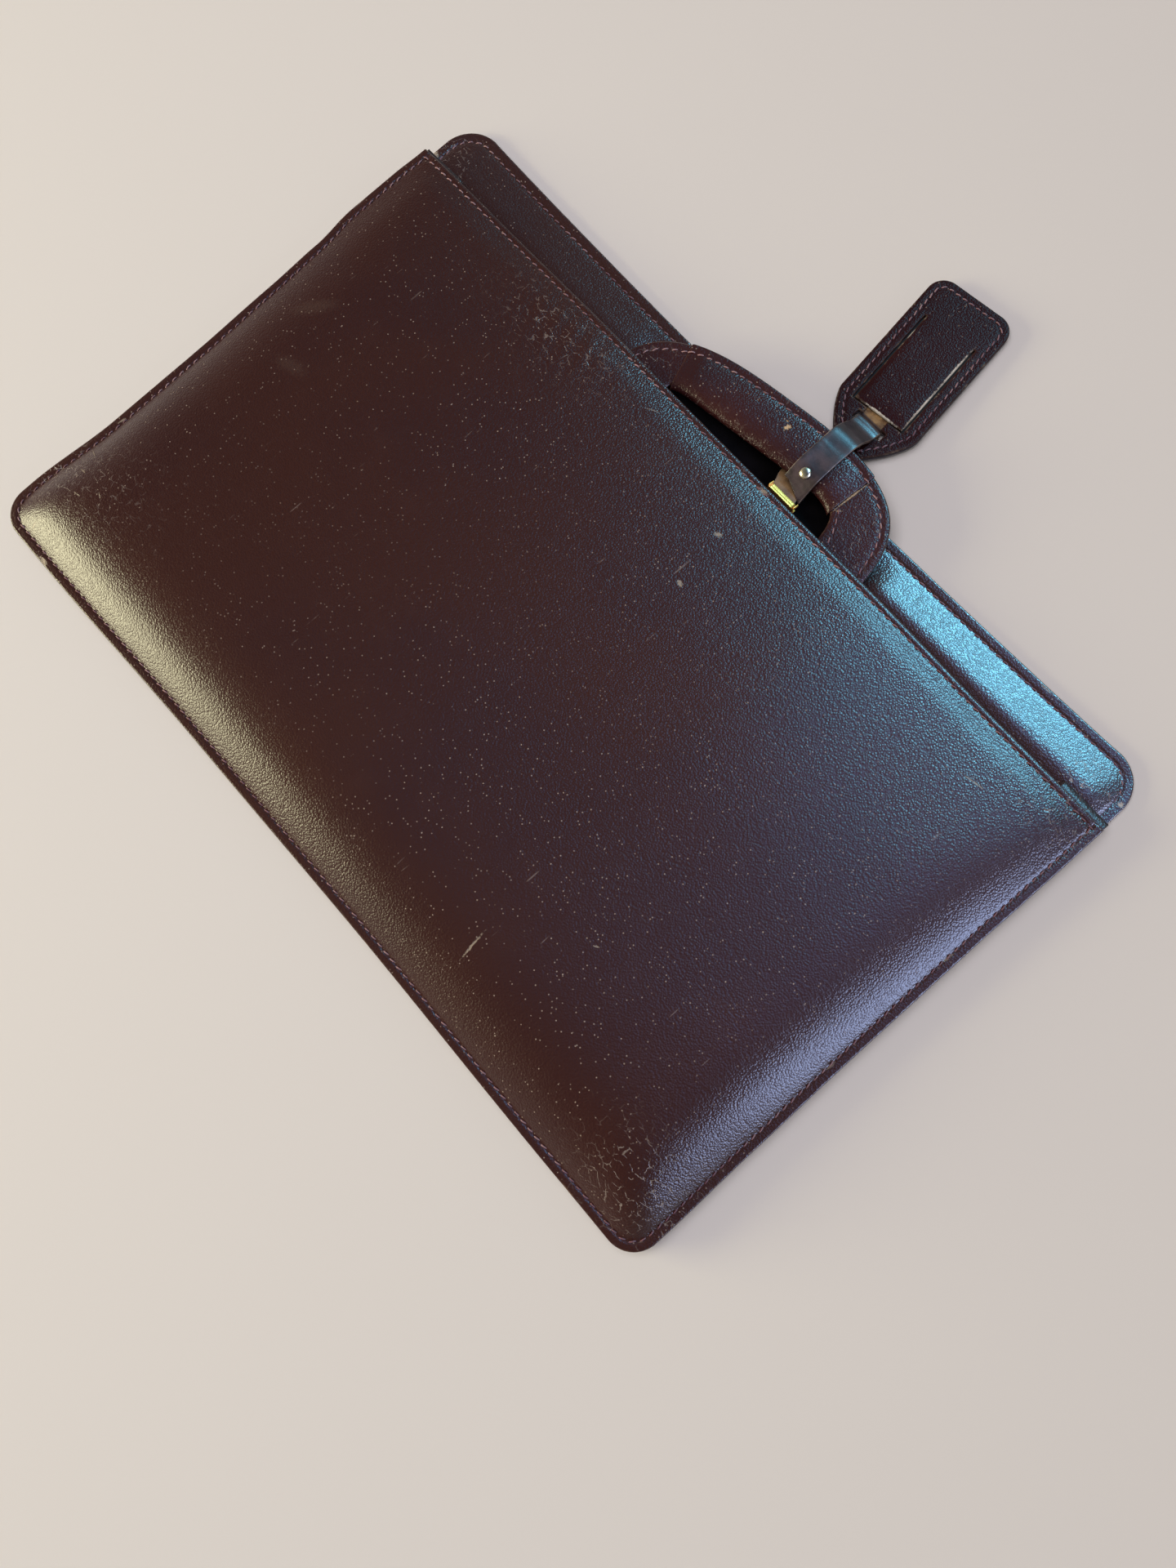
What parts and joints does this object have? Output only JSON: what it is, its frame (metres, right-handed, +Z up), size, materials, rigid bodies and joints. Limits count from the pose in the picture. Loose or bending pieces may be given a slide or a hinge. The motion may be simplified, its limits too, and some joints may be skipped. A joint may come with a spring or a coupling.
{
  "type": "leather document case",
  "caption": "Flat leather document case with a half-moon handle and a luggage tag on its strap, lying on its back.",
  "frame": {"origin": "middle of the flat back face, on the surface that the case lies on", "axes": "+X along the case, +Y from its bottom edge to its handle, +Z up out of its front"},
  "size_m": [0.4085, 0.368, 0.0213],
  "materials": {
    "case_leather": "glazed",
    "gusset_leather": "smooth",
    "lining_fabric": "matte",
    "handle_leather": "glazed",
    "strap_leather": "glazed",
    "stud_metal": "polished",
    "clip_brass": "polished",
    "tag_leather": "glazed"
  },
  "bodies": {
    "root": {"back_panel": "case_leather", "front_panel": "case_leather", "gusset": "gusset_leather", "lining": "lining_fabric", "handle_arch": "handle_leather", "handle_grip": "handle_leather", "tag_strap": "strap_leather", "strap_stud": "stud_metal", "strap_clip": "clip_brass", "tag_back": "tag_leather", "tag_front": "tag_leather"}
  },
  "joints": []
}
